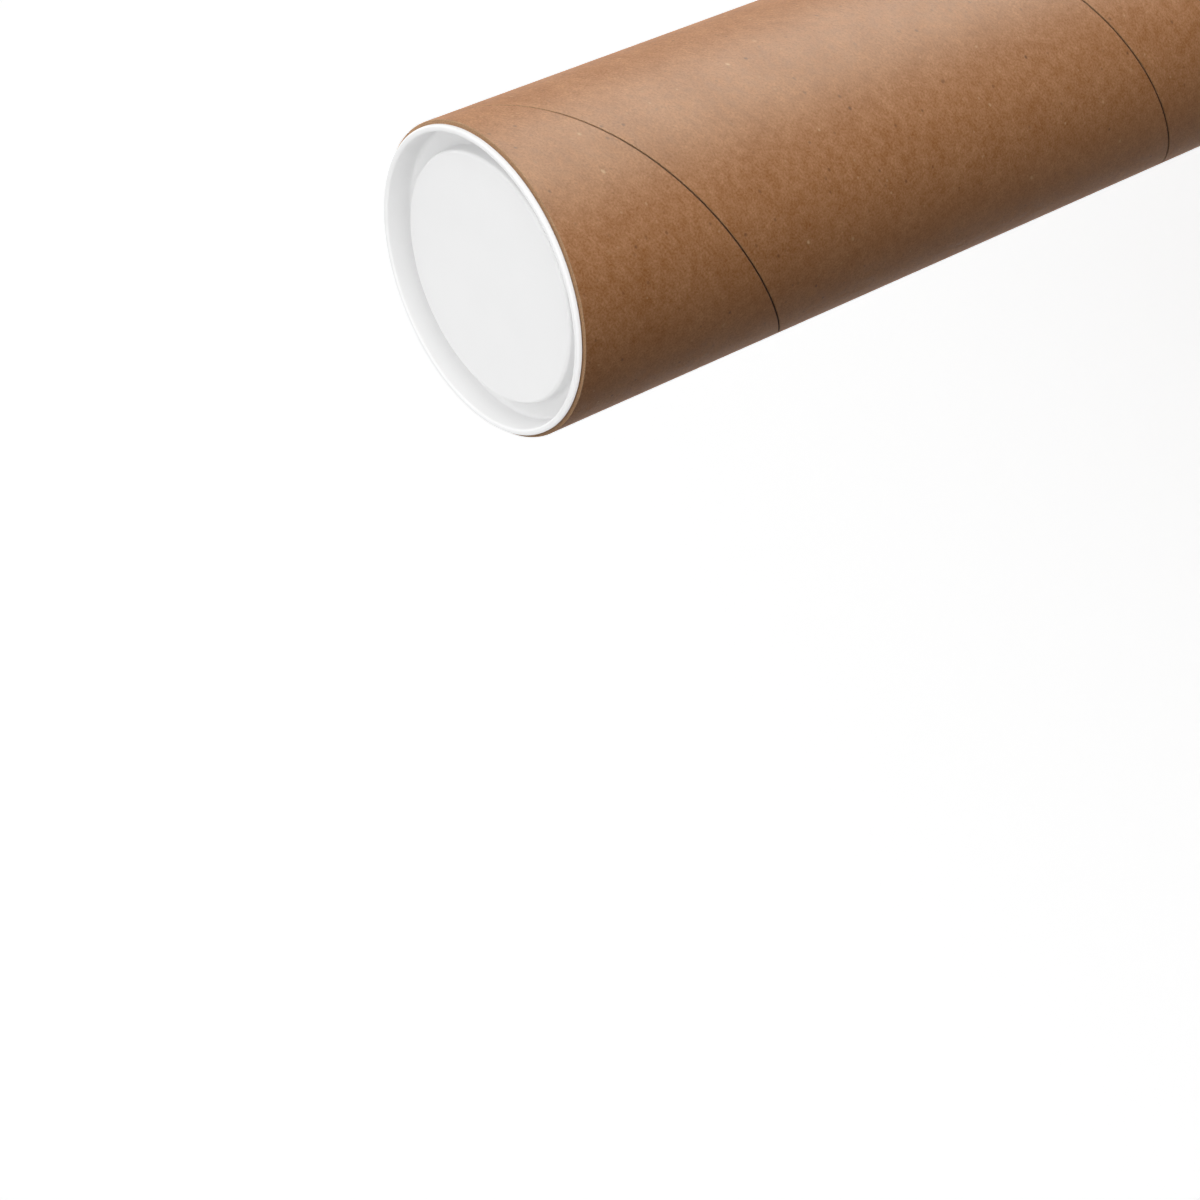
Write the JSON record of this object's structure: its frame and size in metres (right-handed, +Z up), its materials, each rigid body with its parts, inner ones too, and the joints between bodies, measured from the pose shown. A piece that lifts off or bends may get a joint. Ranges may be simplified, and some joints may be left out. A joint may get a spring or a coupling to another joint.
{
  "type": "cardboard mailing tube",
  "caption": "Straight round tube of spirally wound brown board, closed at each end by a recessed white plastic push-in plug.",
  "frame": {"origin": "on the surface that the tube stands on, at the middle of the lower plug's lip", "axes": "+Z up along the tube, out through the upper plug; +X is towards the side where the outer seam crosses 49 mm above the lower cut end"},
  "size_m": [0.079, 0.079, 0.4532],
  "materials": {
    "kraft_board": "calendered kraft paper with a faint sheen",
    "white_plastic": "smooth satin moulded polyethylene"
  },
  "bodies": {
    "bottom_plug": {"bottom_plug": "white_plastic"},
    "tube": {"cardboard_tube": "kraft_board"},
    "top_plug": {"top_plug": "white_plastic"}
  },
  "joints": [
    {"name": "tube_off_bottom_plug", "type": "slide", "parent": "bottom_plug", "child": "tube", "axis": [0, 0, 1], "range_m": [0, 0.035]},
    {"name": "top_plug_pull", "type": "slide", "parent": "tube", "child": "top_plug", "axis": [0, 0, 1], "range_m": [0, 0.035]}
  ]
}
